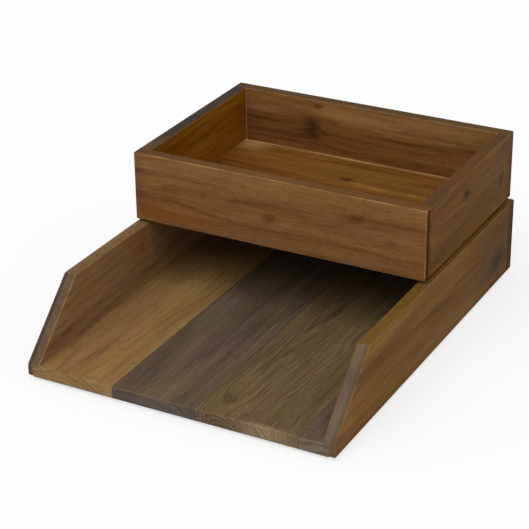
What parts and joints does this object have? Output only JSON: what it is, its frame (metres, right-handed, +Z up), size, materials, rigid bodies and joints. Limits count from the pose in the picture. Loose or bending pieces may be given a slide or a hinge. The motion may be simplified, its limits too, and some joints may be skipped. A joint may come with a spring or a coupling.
{
  "type": "desk letter tray with a stacked box",
  "caption": "Wooden letter tray with sloped side ends and an open front, and an open-top box that stands loose across its side walls.",
  "frame": {"origin": "on the surface that the feet stand on, below the middle of the tray's outline", "axes": "+X to the right as seen from the open front, +Y from the open front to the back wall, +Z up"},
  "size_m": [0.25, 0.328, 0.1215],
  "materials": {
    "tray_wood": "satin walnut-brown stain on solid wood, eased edges",
    "box_wood": "satin walnut-brown stain on solid wood, eased edges",
    "floor_wood": "satin walnut-brown stain on edge-glued strips",
    "dowel_wood": "bare fluted hardwood, hidden in the joints",
    "rubber": "matte dark brown rubber"
  },
  "bodies": {
    "tray": {"tray_side_left": "tray_wood", "tray_side_right": "tray_wood", "tray_back": "tray_wood", "tray_floor_stave_1": "floor_wood", "tray_floor_stave_2": "floor_wood", "tray_floor_stave_3": "floor_wood", "tray_floor_stave_4": "floor_wood", "tray_corner_dowels": "dowel_wood", "tray_foot_front_left": "rubber", "tray_foot_front_right": "rubber", "tray_foot_rear_left": "rubber", "tray_foot_rear_right": "rubber"},
    "box": {"box_front": "box_wood", "box_back": "box_wood", "box_side_left": "box_wood", "box_side_right": "box_wood", "box_floor_stave_1": "floor_wood", "box_floor_stave_2": "floor_wood", "box_floor_stave_3": "floor_wood", "box_corner_dowels": "dowel_wood", "box_bumper_front_left": "rubber", "box_bumper_front_right": "rubber", "box_bumper_rear_left": "rubber", "box_bumper_rear_right": "rubber"}
  },
  "joints": [
    {"name": "box_lift", "type": "slide", "parent": "tray", "child": "box", "axis": [0, 0, 1], "range_m": [0, 0.12]}
  ]
}
